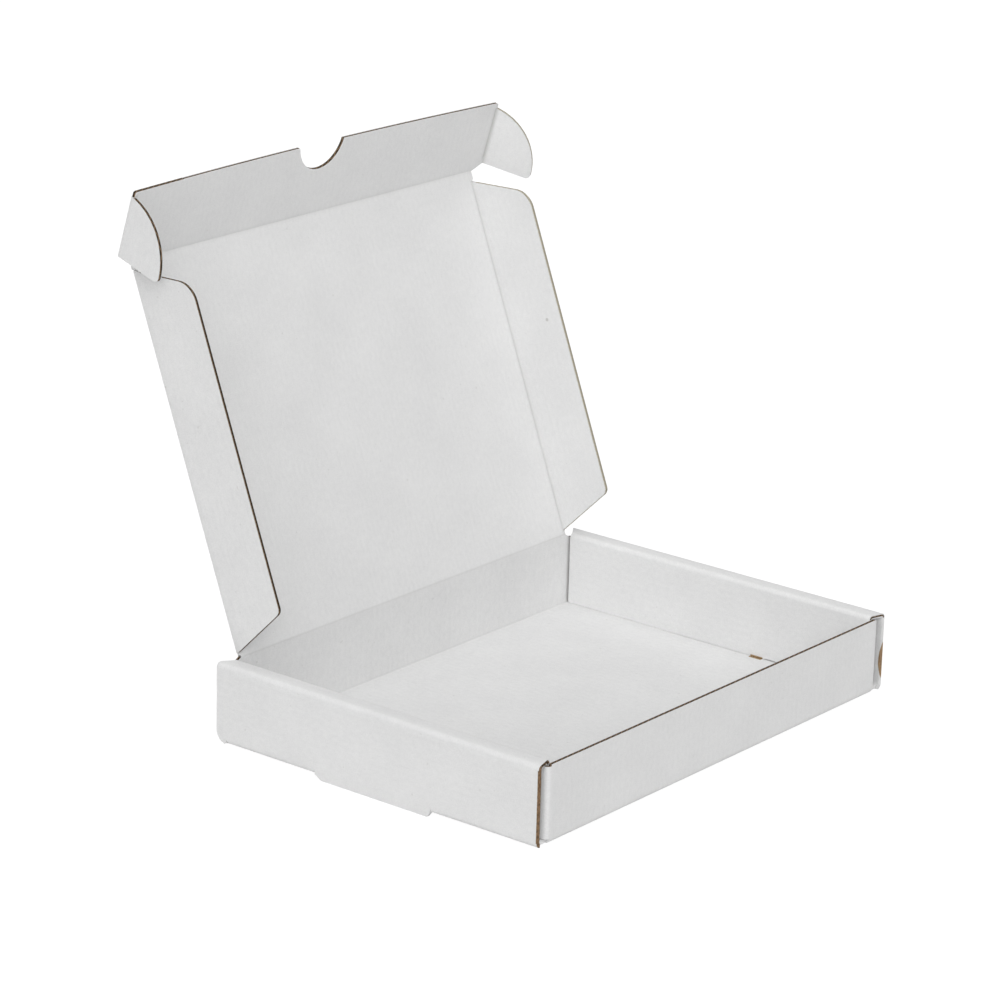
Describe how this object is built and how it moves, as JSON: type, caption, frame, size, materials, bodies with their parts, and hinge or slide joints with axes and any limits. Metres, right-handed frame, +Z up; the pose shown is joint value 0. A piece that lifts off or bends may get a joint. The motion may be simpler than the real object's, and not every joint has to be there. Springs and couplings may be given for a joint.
{
  "type": "letterbox mailer box",
  "caption": "Shallow white corrugated mailer box with rolled side walls, standing open, with a hinged lid, side flaps that fold in and a front flap with ears and a thumb notch.",
  "frame": {"origin": "middle of the underside of the base", "axes": "+X to the right along the front wall, +Y to the back where the lid is hinged, +Z up"},
  "size_m": [0.2275, 0.2097, 0.2077],
  "materials": {
    "board": "matt white liner with a brown fluted core at the cut edges"
  },
  "bodies": {
    "tray": {"tray": "board"},
    "lid": {"lid": "board"},
    "left_side_flap": {"left_side_flap": "board"},
    "right_side_flap": {"right_side_flap": "board"},
    "front_flap": {"front_flap": "board"},
    "left_ear": {"left_ear": "board"},
    "right_ear": {"right_ear": "board"}
  },
  "joints": [
    {"name": "lid_hinge", "type": "hinge", "parent": "tray", "child": "lid", "pos_m": [0, 0.0762, 0.0318], "axis": [-1, 0, 0], "range_deg": [-111, 69]},
    {"name": "left_side_flap_fold", "type": "hinge", "parent": "lid", "child": "left_side_flap", "pos_m": [-0.0996, 0.0762, 0.0318], "axis": [0, -0.3584, -0.9336], "range_deg": [-1.5, 88.5]},
    {"name": "right_side_flap_fold", "type": "hinge", "parent": "lid", "child": "right_side_flap", "pos_m": [0.0996, 0.0762, 0.0318], "axis": [0, 0.3584, 0.9336], "range_deg": [-1.5, 88.5]},
    {"name": "front_flap_fold", "type": "hinge", "parent": "lid", "child": "front_flap", "pos_m": [0, 0.13189, 0.17688], "axis": [-1, 0, 0], "range_deg": [-52.5, 37.5]},
    {"name": "left_ear_fold", "type": "hinge", "parent": "front_flap", "child": "left_ear", "pos_m": [-0.107, 0.13189, 0.17688], "axis": [0, 0.284, -0.9588], "range_deg": [-1, 89]},
    {"name": "right_ear_fold", "type": "hinge", "parent": "front_flap", "child": "right_ear", "pos_m": [0.107, 0.13189, 0.17688], "axis": [0, -0.284, 0.9588], "range_deg": [-27.5, 62.5]}
  ]
}
